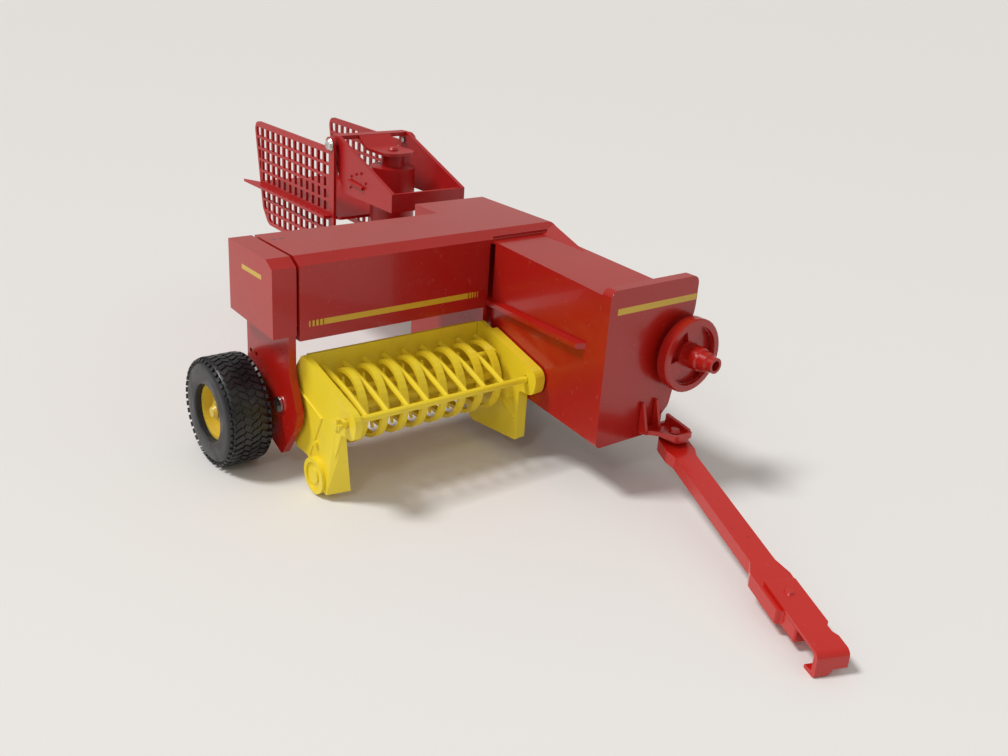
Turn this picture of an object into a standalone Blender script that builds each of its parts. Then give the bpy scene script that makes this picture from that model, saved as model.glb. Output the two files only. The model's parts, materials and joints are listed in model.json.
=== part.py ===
"""Die-cast toy square baler with a bale thrower, 1:16 size.

+X is the travel direction, +Y the left side, +Z up.  Model coordinates start at the front face of the
feeder housing (X), the right wall of the front hood (Y) and the table (Z); the root empty then centres
the whole toy.  Run with: blender --background --python part.py
"""
import math

import bmesh
import bpy
from mathutils import Matrix, Vector

MM = 0.001
GAP = 0.3 * MM            # between pieces that rest on each other
RUN = 0.3 * MM            # radial clearance of a pin in its hole
REACH = 9.0 * MM          # how far a cutting shape runs past what it cuts

# Where the model's own zero lies from the middle of the toy's footprint
CENTRE_X = -10.2 * MM
CENTRE_Y = -31.1 * MM

# Feeder housing, the cross box on the right
HOUSE_DEPTH = 39.9 * MM
HOUSE_RIGHT = -97.9 * MM
HOUSE_BOTTOM = 63.3 * MM
BODY_TOP = 98.5 * MM
LIP_DROP = 3.1 * MM
LIP_DEPTH = 5.5 * MM
WALL = 2.0 * MM

# End frame: the cap on the feeder's right end and the plate that carries axle and pickup
CAP_INNER = -99.3 * MM
CAP_OUTER = -109.9 * MM
CAP_FRONT_BOTTOM = 66.0 * MM
CAP_REAR_BOTTOM = 67.7 * MM
PLATE_THICK = 3.3 * MM
CAP_PLUG = 1.3 * MM

# Bale case: high block and lower front hood
BLOCK_REAR = -59.4 * MM
BLOCK_RIGHT = -3.3 * MM
BLOCK_LEFT = 39.5 * MM
BLOCK_ROUND = 1.6 * MM
HOOD_LENGTH = 74.9 * MM
HOOD_LEFT = 44.0 * MM
HOOD_CREASE = 30.0 * MM
HOOD_TOP_REAR = 94.7 * MM
HOOD_TOP_FRONT = 90.6 * MM
HOOD_SHOULDER = 76.0 * MM
CASE_FOOT = 15.0 * MM
CASE_BOTTOM = 29.0 * MM
CASE_BOTTOM_FRONT = 24.6 * MM
RIB_Z = 66.3 * MM
RIB_HEIGHT = 3.0 * MM
RIB_LENGTH = 67.9 * MM

# Front panel
PANEL_THICK = 5.4 * MM
PANEL_RIGHT = -1.6 * MM
PANEL_LEFT = 50.2 * MM
PANEL_BOTTOM = 24.1 * MM
PANEL_TOP = 94.5 * MM
PANEL_ROUND = 2.6 * MM
PANEL_FRONT = HOOD_LENGTH + GAP + PANEL_THICK

# Bale chamber behind the block
CHAMBER_REAR = -130.0 * MM
CHAMBER_BOTTOM = 46.0 * MM
CHAMBER_TOP = 70.0 * MM

# Wheels and axle
AXLE_X = -32.0 * MM
AXLE_Z = 24.4 * MM
AXLE_RADIUS = 2.0 * MM
TYRE_RADIUS = 24.4 * MM
TYRE_WIDTH = 20.2 * MM
RIM_RADIUS = 12.5 * MM
RIGHT_TYRE_INNER = -106.0 * MM
LEFT_TYRE_INNER = 43.8 * MM

# Flywheel
FLYWHEEL_Y = 43.2 * MM
FLYWHEEL_Z = 61.3 * MM
FLYWHEEL_RADIUS = 16.8 * MM
FLYWHEEL_THICK = 5.6 * MM
FLYWHEEL_STANDOFF = 2.8 * MM
STUB_REACH = 18.5 * MM
WINDOW_INNER = 7.4 * MM
WINDOW_OUTER = 13.0 * MM
WINDOW_HALF = math.radians(39)
WINDOW_BACK = 2.3 * MM
FLYWHEEL_PIN = 1.5 * MM

# Drawbar
HITCH_X = 90.5 * MM
HITCH_Y = 36.5 * MM
DRAWBAR_ANGLE = math.radians(-22.0)
DRAWBAR_SLOPE = 0.115
DRAWBAR_TOP = 23.4 * MM
DRAWBAR_DEPTH = 5.5 * MM
DRAWBAR_PIN = 2.0 * MM
ARM_WIDE = 13.4 * MM
ARM_NARROW = 10.3 * MM
NECK_START = 8.0 * MM
NECK_END = 13.0 * MM
ARM_END = 83.0 * MM
HEAD_START = 91.0 * MM
HEAD_END = 119.0 * MM
LATCH_START = 95.5 * MM
HOOK_END = 133.5 * MM
HOOK_WALL = 2.2 * MM
HOOK_PLATE = 1.1 * MM
HOOK_WIDTH = 12.6 * MM

# Bracket that holds the drawbar under the panel
BRACKET_BOTTOM = 24.3 * MM
BRACKET_SHELF = 26.2 * MM
BRACKET_FLOOR = 27.4 * MM
BRACKET_LIP = 28.3 * MM
BRACKET_RIM = 31.4 * MM
BRACKET_LEFT = 42.0 * MM
BRACKET_WALL = 1.6 * MM

# Pickup
PICKUP_X = -9.5 * MM
PICKUP_Z = 32.5 * MM
PICKUP_OUTER = -97.4 * MM
PICKUP_INNER = -6.2 * MM
REEL_MIDDLE = (PICKUP_OUTER + PICKUP_INNER) / 2
OUTER_PLATE_THICK = 3.0 * MM
INNER_PLATE_THICK = 2.4 * MM
PIVOT_RADIUS = 1.8 * MM
GUARD_BAR_X = 37.5 * MM
GUARD_BAR_Z = 41.5 * MM
GUARD_BAR_RADIUS = 1.5 * MM
FINGER_RADIUS = 1.25 * MM
FINGER_COUNT = 9
FINGER_FIRST = -88.0 * MM
FINGER_PITCH = 9.9 * MM
FINGER_TOP_X = 2.0 * MM
FINGER_SLOPE = 0.258
FINGER_ARCH = 1.4 * MM
STUB_SHARE = 0.44
STUB_RADIUS = 1.15 * MM
REEL_X = 13.5 * MM
REEL_Z = 36.8 * MM
REEL_CORE = 3.5 * MM
REEL_DISC = 8.0 * MM
REEL_BAR_CIRCLE = 6.2 * MM
REEL_TINE_TIP = 12.0 * MM
STRIPPER_REACH = 14.6 * MM
STRIPPER_HEIGHT = 16.2 * MM
STRIPPER_THICK = 1.7 * MM
STRIPPER_WIDTH = 3.2 * MM
STRIPPER_OPEN = math.radians(-28)
PAN_X = 0.0 * MM
PAN_THICK = 1.5 * MM
PAN_TOP = 56.8 * MM
GAUGE_WHEEL_X = 15.3 * MM
GAUGE_WHEEL_Z = 8.6 * MM
GAUGE_WHEEL_RADIUS = 8.0 * MM

# Thrower
THROWER_X = -116.0 * MM
THROWER_RIGHT = -3.3 * MM
THROWER_LEFT = 42.1 * MM
THROWER_Y = (THROWER_RIGHT + THROWER_LEFT) / 2
DRUM_RADIUS = 12.0 * MM
DRUM_TOP = 104.5 * MM
NECK_RADIUS = 6.2 * MM
NECK_TOP = 111.2 * MM
FRAME_PLATE = 2.0 * MM
FRAME_FRONT = -80.6 * MM
FRAME_BOTTOM = 88.8 * MM
FRAME_FRONT_TOP = 98.4 * MM
FRAME_TOP = 118.3 * MM
FRAME_REAR = -142.5 * MM
HOOD_PLATE = 1.5 * MM
HOOD_HALF = 10.0 * MM
RIVET_RADIUS = 1.6 * MM

# Side guards and deck behind the thrower
GUARD_PIVOT_X = -138.0 * MM
GUARD_PIVOT_Z = 113.4 * MM
GUARD_GAP = 1.7 * MM
GUARD_THICK = 1.6 * MM
GUARD_REAR = -230.0 * MM
GUARD_FRONT = -136.0 * MM
GUARD_TOP = 111.5 * MM
GUARD_BOTTOM = 50.0 * MM
DECK_Z = 73.2 * MM
DECK_THICK = 1.6 * MM
DECK_FRONT = -131.5 * MM
FLANGE_REACH = 4.5 * MM
FLANGE_TIP = -237.0 * MM
MESH_COLUMNS = 13
MESH_PITCH_X = 6.85 * MM
MESH_PITCH_Z = 6.6 * MM
MESH_BAR = 1.5 * MM
MESH_EDGE = 2.2 * MM
BOLT_RADIUS = 1.5 * MM

RED = ("red_paint", (0.50, 0.018, 0.016), 0.22, 0.0)
RED_PLASTIC = ("red_plastic", (0.42, 0.015, 0.018), 0.42, 0.0)
YELLOW_PLASTIC = ("yellow_plastic", (0.80, 0.58, 0.02), 0.38, 0.0)
YELLOW_RIM = ("yellow_rim", (0.74, 0.50, 0.03), 0.40, 0.0)
RUBBER = ("tyre_rubber", (0.018, 0.018, 0.020), 0.55, 0.0)
STEEL = ("bright_steel", (0.62, 0.62, 0.60), 0.25, 1.0)

PLANES = {
    "XY": Matrix.Identity(4),
    "XZ": Matrix.Rotation(math.radians(90), 4, "X"),
    "YZ": Matrix(((0, 0, 1, 0), (1, 0, 0, 0), (0, 1, 0, 0), (0, 0, 0, 1))),
}


def clear_scene():
    for old in list(bpy.data.objects):
        bpy.data.objects.remove(old, do_unlink=True)


def material(spec):
    name, colour, roughness, metallic = spec
    made = bpy.data.materials.get(name)
    if made is None:
        made = bpy.data.materials.new(name)
        made.use_nodes = True
        shader = made.node_tree.nodes["Principled BSDF"]
        shader.inputs["Base Color"].default_value = (*colour, 1.0)
        shader.inputs["Roughness"].default_value = roughness
        shader.inputs["Metallic"].default_value = metallic
    return made


def new_object(name, mesh):
    made = bpy.data.objects.new(name, mesh)
    COLLECTION.objects.link(made)
    return made


def evaluated_mesh(piece):
    bpy.context.view_layer.update()
    return bpy.data.meshes.new_from_object(piece.evaluated_get(bpy.context.evaluated_depsgraph_get()))


def weld(mesh, distance=0.00001):
    work = bmesh.new()
    work.from_mesh(mesh)
    bmesh.ops.remove_doubles(work, verts=work.verts, dist=distance)
    work.to_mesh(mesh)
    work.free()


def box(name, low, high):
    middle = (Vector(low) + Vector(high)) / 2
    size = Vector(high) - Vector(low)
    work = bmesh.new()
    bmesh.ops.create_cube(work, size=1.0, matrix=Matrix.Translation(middle) @ Matrix.Diagonal((*size, 1.0)))
    mesh = bpy.data.meshes.new(name)
    work.to_mesh(mesh)
    work.free()
    return new_object(name, mesh)


def cylinder(name, start, end, radius, segments=32, end_radius=None):
    start = Vector(start)
    run = Vector(end) - start
    turn = run.to_track_quat("Z", "Y").to_matrix().to_4x4()
    work = bmesh.new()
    bmesh.ops.create_cone(
        work, cap_ends=True, segments=segments, radius1=radius,
        radius2=radius if end_radius is None else end_radius, depth=run.length,
        matrix=Matrix.Translation(start + run / 2) @ turn)
    mesh = bpy.data.meshes.new(name)
    work.to_mesh(mesh)
    work.free()
    return new_object(name, mesh)


def rounded(corners, steps=5):
    """Outline through (x, y, radius) corners, each filleted with its own radius."""
    points = []
    count = len(corners)
    for index, (x, y, radius) in enumerate(corners):
        here = Vector((x, y))
        back = Vector(corners[index - 1][:2]) - here
        ahead = Vector(corners[(index + 1) % count][:2]) - here
        if radius <= 0:
            points.append(tuple(here))
            continue
        half = back.angle(ahead) / 2
        reach = min(radius / math.tan(half), 0.49 * back.length, 0.49 * ahead.length)
        radius = reach * math.tan(half)
        centre = here + (back.normalized() + ahead.normalized()).normalized() * (radius / math.sin(half))
        first = here + back.normalized() * reach - centre
        last = here + ahead.normalized() * reach - centre
        sweep = first.angle_signed(last)
        for step in range(steps + 1):
            turn = -sweep * step / steps
            points.append((centre.x + first.x * math.cos(turn) - first.y * math.sin(turn),
                           centre.y + first.x * math.sin(turn) + first.y * math.cos(turn)))
    return points


def prism(name, points, plane, low, high):
    """Flat outline in a plane, thickened from low to high along the plane's normal."""
    curve = bpy.data.curves.new(name, "CURVE")
    curve.dimensions = "2D"
    curve.fill_mode = "BOTH"
    curve.extrude = abs(high - low) / 2
    spline = curve.splines.new("POLY")
    spline.points.add(len(points) - 1)
    for point, (x, y) in zip(spline.points, points):
        point.co = (x, y, 0.0, 1.0)
    spline.use_cyclic_u = True
    flat = new_object(name, curve)
    mesh = evaluated_mesh(flat)
    bpy.data.objects.remove(flat)
    bpy.data.curves.remove(curve)
    weld(mesh)
    normal = Vector({"XY": (0, 0, 1), "XZ": (0, 1, 0), "YZ": (1, 0, 0)}[plane])
    mesh.transform(Matrix.Translation(normal * (low + high) / 2) @ PLANES[plane])
    return new_object(name, mesh)


def turned(name, profile, centre, axis, segments=48):
    """Profile of (radius, along) points turned about an axis through centre; one off the axis is closed."""
    work = bmesh.new()
    ring = [work.verts.new((radius, 0.0, along)) for radius, along in profile]
    closing = ring[:1] if profile[0][0] > 0 else []
    for first, second in zip(ring, ring[1:] + closing):
        work.edges.new((first, second))
    mesh = bpy.data.meshes.new(name)
    work.to_mesh(mesh)
    work.free()
    piece = new_object(name, mesh)
    screw = piece.modifiers.new("Turn", "SCREW")
    screw.axis = "Z"
    screw.steps = segments
    screw.render_steps = segments
    screw.use_merge_vertices = True
    screw.merge_threshold = 0.00001
    solid = evaluated_mesh(piece)
    piece.modifiers.clear()
    piece.data = solid
    work = bmesh.new()
    work.from_mesh(solid)
    bmesh.ops.recalc_face_normals(work, faces=work.faces)
    work.to_mesh(solid)
    work.free()
    solid.transform(Matrix.Translation(Vector(centre)) @ PLANES[axis])
    return piece


def rod(name, points, radius, sides=2):
    """Round bar along a list of points, with closed ends."""
    curve = bpy.data.curves.new(name, "CURVE")
    curve.dimensions = "3D"
    curve.bevel_depth = radius
    curve.bevel_resolution = sides
    curve.use_fill_caps = True
    spline = curve.splines.new("POLY")
    spline.points.add(len(points) - 1)
    for point, place in zip(spline.points, points):
        point.co = (*place, 1.0)
    path = new_object(name, curve)
    mesh = evaluated_mesh(path)
    bpy.data.objects.remove(path)
    bpy.data.curves.remove(curve)
    weld(mesh)
    return new_object(name, mesh)


def hull(name, points):
    """Smallest solid round a few corner points."""
    work = bmesh.new()
    verts = [work.verts.new(point) for point in points]
    bmesh.ops.convex_hull(work, input=verts)
    mesh = bpy.data.meshes.new(name)
    work.to_mesh(mesh)
    work.free()
    return new_object(name, mesh)


def soften(piece, width, segments, pick):
    """Round the edges whose two ends both satisfy pick."""
    work = bmesh.new()
    work.from_mesh(piece.data)
    chosen = [edge for edge in work.edges if all(pick(vert.co) for vert in edge.verts)
              and edge.calc_face_angle(0.0) > math.radians(40)]
    bmesh.ops.bevel(work, geom=chosen, offset=width, segments=segments, profile=0.5, affect="EDGES",
                    clamp_overlap=True)
    work.to_mesh(piece.data)
    work.free()
    return piece


def boolean(piece, other, operation):
    change = piece.modifiers.new(operation.title(), "BOOLEAN")
    change.operation = operation
    change.solver = "EXACT"
    change.object = other
    mesh = evaluated_mesh(piece)
    piece.modifiers.clear()
    piece.data = mesh
    bpy.data.objects.remove(other)
    return piece


def join(piece, *others):
    for other in others:
        boolean(piece, other, "UNION")
    return piece


def cut(piece, *others):
    for other in others:
        boolean(piece, other, "DIFFERENCE")
    return piece


def empty(name, place, parent=None):
    made = new_object(name, None)
    made.empty_display_size = 0.01
    made["model_place"] = place
    made.location = Vector(place) - Vector(parent["model_place"]) if parent else Vector(place)
    made.parent = parent
    return made


def finish(piece, pivot, spec):
    """Hang a finished piece on its joint's empty, without moving it."""
    piece.data.materials.clear()
    piece.data.materials.append(material(spec))
    piece.data.shade_smooth()
    piece.data.set_sharp_from_angle(angle=math.radians(30))
    piece.data.name = piece.name
    piece.parent = pivot
    piece.location = -Vector(pivot["model_place"])
    return piece


# ---------------------------------------------------------------- body

def end_plate_outline():
    return rounded([(-HOUSE_DEPTH, 72 * MM, 0), (-HOUSE_DEPTH, 46 * MM, 0), (-41.5 * MM, 38 * MM, 3 * MM),
                    (-41.5 * MM, 21 * MM, 3 * MM), (-36 * MM, 17.5 * MM, 2 * MM), (-21 * MM, 14 * MM, 0),
                    (-8.5 * MM, 9 * MM, 2 * MM), (4 * MM, 26 * MM, 2 * MM), (6 * MM, 33 * MM, 3 * MM),
                    (-0.7 * MM, 49 * MM, 6 * MM), (-0.7 * MM, 72 * MM, 0)])


def build_end_frame():
    cap = prism("feeder_end_frame", [(-HOUSE_DEPTH, CAP_REAR_BOTTOM), (-HOUSE_DEPTH, BODY_TOP),
                                     (-LIP_DEPTH, BODY_TOP), (0.0, BODY_TOP - LIP_DROP),
                                     (0.0, CAP_FRONT_BOTTOM)], "XZ", CAP_OUTER, CAP_INNER)
    plate = prism("plate", end_plate_outline(), "XZ", CAP_INNER - PLATE_THICK, CAP_INNER)
    plug_top = BODY_TOP - LIP_DROP - 1.5 * MM
    plug = box("plug", (-HOUSE_DEPTH + 1.5 * MM, CAP_INNER - 1.0 * MM, CAP_REAR_BOTTOM + 1.5 * MM),
               (-1.5 * MM, HOUSE_RIGHT - GAP, plug_top))
    hollow = box("hollow", (-HOUSE_DEPTH + WALL, CAP_OUTER + WALL, CAP_REAR_BOTTOM - 4 * MM),
                 (-LIP_DEPTH - WALL, CAP_INNER - PLATE_THICK, BODY_TOP - WALL))
    cap = join(cut(cap, hollow), plate, plug)
    axle = cylinder("axle", (AXLE_X, CAP_INNER - 9 * MM, AXLE_Z), (AXLE_X, CAP_INNER + 9 * MM, AXLE_Z),
                    AXLE_RADIUS + RUN)
    pivot = cylinder("pivot", (PICKUP_X, CAP_INNER - 9 * MM, PICKUP_Z), (PICKUP_X, CAP_INNER + 9 * MM, PICKUP_Z),
                     PIVOT_RADIUS + RUN)
    cap = cut(cap, axle, pivot)
    for x in (-36.6 * MM, -31.2 * MM):
        cap = cut(cap, cylinder("hole", (x, CAP_INNER - 9 * MM, 47.8 * MM), (x, CAP_INNER + 9 * MM, 47.8 * MM),
                                1.1 * MM, 16))
    return cap


def build_bale_case():
    """Hollow casting: the block, the cross housing to its right and the sloping hood in front."""
    plan = [(BLOCK_REAR, BLOCK_LEFT), (BLOCK_REAR, BLOCK_RIGHT), (-HOUSE_DEPTH, BLOCK_RIGHT),
            (-HOUSE_DEPTH, HOUSE_RIGHT), (0.0, HOUSE_RIGHT), (0.0, BLOCK_LEFT)]
    block = prism("bale_case", plan, "XY", CASE_FOOT, BODY_TOP)
    soften(block, BLOCK_ROUND, 3, lambda place: place.z > BODY_TOP - 0.1 * MM and place.y > BLOCK_LEFT - 0.1 * MM)
    below = prism("below", [(-HOUSE_DEPTH - REACH, HOUSE_RIGHT - REACH), (REACH, HOUSE_RIGHT - REACH),
                            (REACH, BLOCK_RIGHT), (-HOUSE_DEPTH - REACH, BLOCK_RIGHT)], "XY", 0.0, HOUSE_BOTTOM)
    lip = prism("lip", [(-LIP_DEPTH, BODY_TOP), (0.0, BODY_TOP - LIP_DROP),
                        (LIP_DEPTH, BODY_TOP - 2 * LIP_DROP), (LIP_DEPTH, BODY_TOP + LIP_DEPTH),
                        (-LIP_DEPTH, BODY_TOP + LIP_DEPTH)], "XZ", HOUSE_RIGHT - REACH, BLOCK_LEFT + REACH)
    block = cut(block, below, lip)
    hood = prism("hood", rounded([(0.0, 15 * MM, 0), (0.0, HOOD_TOP_REAR + 2 * MM, 0),
                                  (HOOD_CREASE + 2 * MM, HOOD_TOP_REAR + 2 * MM, 0),
                                  (HOOD_LEFT, HOOD_SHOULDER, 3 * MM), (HOOD_LEFT, 15 * MM, 0)]),
                 "YZ", -1.0 * MM, HOOD_LENGTH)
    slope = prism("slope", [(-0.5 * MM, HOOD_TOP_REAR), (HOOD_LENGTH + 5 * MM, HOOD_TOP_FRONT),
                            (HOOD_LENGTH + 5 * MM, BODY_TOP + 9 * MM), (-0.5 * MM, BODY_TOP + 9 * MM)],
                  "XZ", -9 * MM, HOOD_LEFT + 9 * MM)
    hood = cut(hood, slope)
    shoulder = hull("shoulder", [(-6 * MM, BLOCK_LEFT, BODY_TOP - 0.6 * MM), (-0.4 * MM, 28.8 * MM, 94.9 * MM),
                                 (-0.6 * MM, 28.8 * MM, 80 * MM), (32 * MM, HOOD_CREASE, 92.8 * MM),
                                 (32 * MM, 36 * MM, 80 * MM), (-6 * MM, BLOCK_LEFT, 80 * MM)])
    case = join(block, hood, shoulder)
    under = prism("under", [(BLOCK_REAR - 9 * MM, CASE_BOTTOM), (34 * MM, CASE_BOTTOM),
                            (HOOD_LENGTH + 5 * MM, CASE_BOTTOM_FRONT), (HOOD_LENGTH + 5 * MM, 0.0),
                            (BLOCK_REAR - 9 * MM, 0.0)], "XZ", -20 * MM, HOOD_LEFT + 20 * MM)
    case = cut(case, under)
    rear_room = box("rear_room", (BLOCK_REAR + WALL, BLOCK_RIGHT + WALL, 10 * MM),
                    (2 * MM, BLOCK_LEFT - WALL, BODY_TOP - LIP_DROP - WALL))
    front_room = prism("front_room", [(WALL, 10 * MM), (WALL, HOOD_TOP_FRONT - WALL),
                                      (HOOD_CREASE - WALL, HOOD_TOP_FRONT - WALL),
                                      (HOOD_LEFT - WALL, HOOD_SHOULDER - WALL), (HOOD_LEFT - WALL, 10 * MM)],
                       "YZ", 1.0 * MM, HOOD_LENGTH - WALL)
    house_room = prism("house_room", [(-HOUSE_DEPTH + WALL, HOUSE_BOTTOM - WALL),
                                      (-HOUSE_DEPTH + WALL, BODY_TOP - WALL),
                                      (-LIP_DEPTH - WALL, BODY_TOP - WALL), (-WALL, BODY_TOP - LIP_DROP - WALL),
                                      (-WALL, HOUSE_BOTTOM - WALL)],
                       "XZ", HOUSE_RIGHT + WALL, BLOCK_RIGHT - GAP)
    case = cut(case, rear_room, front_room, house_room)
    rib = hull("rib", [(x, y, z) for x, proud in ((-0.6 * MM, 2.6 * MM), (RIB_LENGTH - 4 * MM, 3.3 * MM))
                       for y, z in ((-proud, RIB_Z - RIB_HEIGHT / 2), (-proud, RIB_Z + RIB_HEIGHT / 2 - 0.8 * MM),
                                    (1.0 * MM, RIB_Z + RIB_HEIGHT / 2), (1.0 * MM, RIB_Z - RIB_HEIGHT / 2))]
               + [(RIB_LENGTH, 1.0 * MM, RIB_Z - RIB_HEIGHT / 2), (RIB_LENGTH, 1.0 * MM, RIB_Z + RIB_HEIGHT / 2)])
    lugs = [box("lug", (AXLE_X - 6 * MM, y, AXLE_Z - 6 * MM), (AXLE_X + 6 * MM, y + WALL, CASE_BOTTOM + 4 * MM))
            for y in (BLOCK_RIGHT, BLOCK_LEFT - WALL)]
    case = join(case, rib, *lugs)
    axle = cylinder("axle", (AXLE_X, BLOCK_RIGHT - 9 * MM, AXLE_Z), (AXLE_X, BLOCK_LEFT + 9 * MM, AXLE_Z),
                    AXLE_RADIUS + RUN)
    pivot = cylinder("pivot", (PICKUP_X, BLOCK_RIGHT - 9 * MM, PICKUP_Z), (PICKUP_X, BLOCK_RIGHT + 9 * MM, PICKUP_Z),
                     PIVOT_RADIUS + RUN)
    return cut(case, axle, pivot)


def build_front_panel():
    outline = rounded([(PANEL_RIGHT, PANEL_BOTTOM, 3 * MM), (29 * MM, PANEL_BOTTOM, 4 * MM),
                       (41 * MM, 35.5 * MM, 5 * MM), (PANEL_LEFT, 80 * MM, 20 * MM),
                       (PANEL_LEFT, PANEL_TOP, 3.5 * MM), (PANEL_RIGHT, PANEL_TOP, 3.5 * MM)])
    panel = prism("front_panel", outline, "YZ", HOOD_LENGTH + GAP, PANEL_FRONT)
    return soften(panel, PANEL_ROUND, 3, lambda place: place.x > PANEL_FRONT - 0.1 * MM)


def build_bale_chamber():
    low = (CHAMBER_REAR, BLOCK_RIGHT, CHAMBER_BOTTOM)
    chamber = box("bale_chamber", low, (BLOCK_REAR - GAP, BLOCK_LEFT, CHAMBER_TOP))
    inside = box("inside", (CHAMBER_REAR - 9 * MM, BLOCK_RIGHT + WALL, CHAMBER_BOTTOM + WALL),
                 (BLOCK_REAR - WALL, BLOCK_LEFT - WALL, CHAMBER_TOP - WALL))
    return cut(chamber, inside)


def build_axle():
    ends = (RIGHT_TYRE_INNER - TYRE_WIDTH + 3.5 * MM, LEFT_TYRE_INNER + TYRE_WIDTH - 3.5 * MM)
    axle = cylinder("axle", (AXLE_X, ends[0], AXLE_Z), (AXLE_X, ends[1], AXLE_Z), AXLE_RADIUS)
    for y, way in ((ends[0], -1), (ends[1], 1)):
        axle = join(axle, cylinder("head", (AXLE_X, y - way * 0.4 * MM, AXLE_Z), (AXLE_X, y + way * 1.2 * MM, AXLE_Z),
                                   3.2 * MM, end_radius=2.2 * MM))
    return axle


# ---------------------------------------------------------------- wheels

def build_wheel(side, inner, way):
    """Tyre and rim; way is +1 where the outer side faces +Y."""
    middle = inner + way * TYRE_WIDTH / 2
    half = TYRE_WIDTH / 2
    bore = RIM_RADIUS + GAP
    tyre_profile = [(bore, half - 4.5 * MM), (bore + 1.2 * MM, half - 1.6 * MM), (bore + 4 * MM, half - 0.2 * MM),
                    (TYRE_RADIUS - 5 * MM, half), (TYRE_RADIUS - 2 * MM, half - 1.2 * MM),
                    (TYRE_RADIUS - 0.5 * MM, half - 3.4 * MM), (TYRE_RADIUS, half - 6.5 * MM)]
    tyre_profile += [(radius, -along) for radius, along in reversed(tyre_profile)]
    tyre = turned(side + "_tyre", tyre_profile, (AXLE_X, middle, AXLE_Z), "XZ", 48)
    hub = AXLE_RADIUS + RUN
    seat = half - 3.1 * MM
    rim_profile = [(hub, half - 4.8 * MM), (4.6 * MM, half - 4.8 * MM), (5.4 * MM, half - 7 * MM),
                   (RIM_RADIUS - 2.4 * MM, half - 7 * MM), (RIM_RADIUS - 1.5 * MM, seat), (RIM_RADIUS, seat),
                   (RIM_RADIUS, -seat), (RIM_RADIUS - 1.5 * MM, -seat), (RIM_RADIUS - 2.4 * MM, -half + 7 * MM),
                   (5.4 * MM, -half + 7 * MM), (4.6 * MM, -half + 1.5 * MM), (hub, -half + 1.5 * MM)]
    if way > 0:
        rim_profile = [(radius, -along) for radius, along in reversed(rim_profile)]
    rim = turned(side + "_rim", rim_profile, (AXLE_X, middle, AXLE_Z), "XZ", 36)
    return tyre, rim


# ---------------------------------------------------------------- flywheel

def window_outline(turn):
    """Blind window between two spokes, as an arc-sided field about the wheel's own centre."""
    steps = 6
    sweep = [turn - WINDOW_HALF + 2 * WINDOW_HALF * step / steps for step in range(steps + 1)]
    points = [(WINDOW_OUTER, angle) for angle in sweep] + [(WINDOW_INNER, angle) for angle in reversed(sweep)]
    return [(FLYWHEEL_Y + radius * math.cos(angle), FLYWHEEL_Z + radius * math.sin(angle))
            for radius, angle in points]


def build_flywheel():
    back = PANEL_FRONT + FLYWHEEL_STANDOFF
    front = back + FLYWHEEL_THICK
    tip = back + STUB_REACH
    bore = FLYWHEEL_PIN + RUN
    edge = 0.6 * MM
    inner = FLYWHEEL_RADIUS - 3.2 * MM
    profile = [(bore, tip - 5 * MM), (2.3 * MM, tip - 4.6 * MM), (2.3 * MM, tip), (3.5 * MM, tip),
               (3.6 * MM, tip - 2.6 * MM), (4.3 * MM, tip - 3.4 * MM), (4.6 * MM, tip - 7.2 * MM),
               (5.2 * MM, tip - 8.2 * MM), (5.6 * MM, front - 1.4 * MM), (inner - 0.4 * MM, front - 1.2 * MM),
               (inner, front), (FLYWHEEL_RADIUS - edge, front), (FLYWHEEL_RADIUS, front - edge),
               (FLYWHEEL_RADIUS, back + edge), (FLYWHEEL_RADIUS - edge, back), (inner, back),
               (inner - 0.4 * MM, back + 1.2 * MM), (4.0 * MM, back + 1.2 * MM), (3.6 * MM, back), (bore, back)]
    wheel = turned("flywheel", profile, (0.0, FLYWHEEL_Y, FLYWHEEL_Z), "YZ", 36)
    for turn in (30, 150, 270):
        window = prism("window", window_outline(math.radians(turn)), "YZ", back + WINDOW_BACK, front + REACH)
        wheel = cut(wheel, window)
    return wheel


def build_flywheel_pin():
    base = PANEL_FRONT + GAP
    pin = cylinder("flywheel_pin", (base, FLYWHEEL_Y, FLYWHEEL_Z),
                   (PANEL_FRONT + FLYWHEEL_STANDOFF + STUB_REACH - 6 * MM, FLYWHEEL_Y, FLYWHEEL_Z), FLYWHEEL_PIN)
    collar = cylinder("collar", (base, FLYWHEEL_Y, FLYWHEEL_Z),
                      (PANEL_FRONT + FLYWHEEL_STANDOFF - GAP, FLYWHEEL_Y, FLYWHEEL_Z), 2.6 * MM)
    return join(pin, collar)


# ---------------------------------------------------------------- drawbar

def bracket_outline(right, inset):
    back = PANEL_FRONT + GAP + inset
    return rounded([(back, right + inset, 1 * MM), (88 * MM, 28.4 * MM + inset, 6 * MM),
                    (96.4 * MM - inset, 31.2 * MM + inset, 3 * MM),
                    (97.4 * MM - inset, BRACKET_LEFT - inset, 3 * MM), (back, BRACKET_LEFT - inset, 1 * MM)])


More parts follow.
